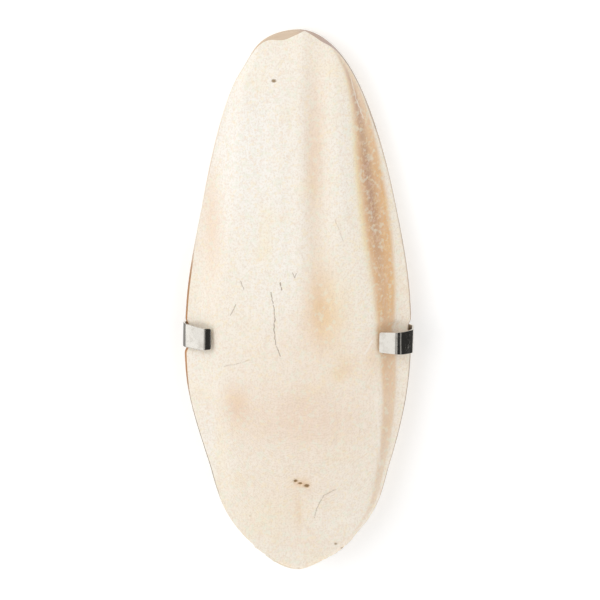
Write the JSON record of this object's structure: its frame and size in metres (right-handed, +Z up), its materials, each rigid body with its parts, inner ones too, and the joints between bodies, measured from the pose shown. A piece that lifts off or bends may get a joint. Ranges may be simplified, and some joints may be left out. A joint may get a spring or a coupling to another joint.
{
  "type": "cuttlebone in a strip clip",
  "caption": "Cuttlebone, the chalky inner shell of a cuttlefish, lying soft side up and gripped at its edges by a bent metal strip that runs behind it.",
  "frame": {"origin": "centre of the base of the bounding box, on the surface it lies on", "axes": "+Y towards the head end along the length, +X across the width, +Z up, out of the soft chalky side"},
  "size_m": [0.0578, 0.1382, 0.0164],
  "materials": {
    "chalky_bone": "dry matte chalk, cream to pinkish white",
    "plated_steel": "bright nickel plate"
  },
  "bodies": {
    "root": {"cuttlebone": "chalky_bone", "metal_clip": "plated_steel"}
  },
  "joints": []
}
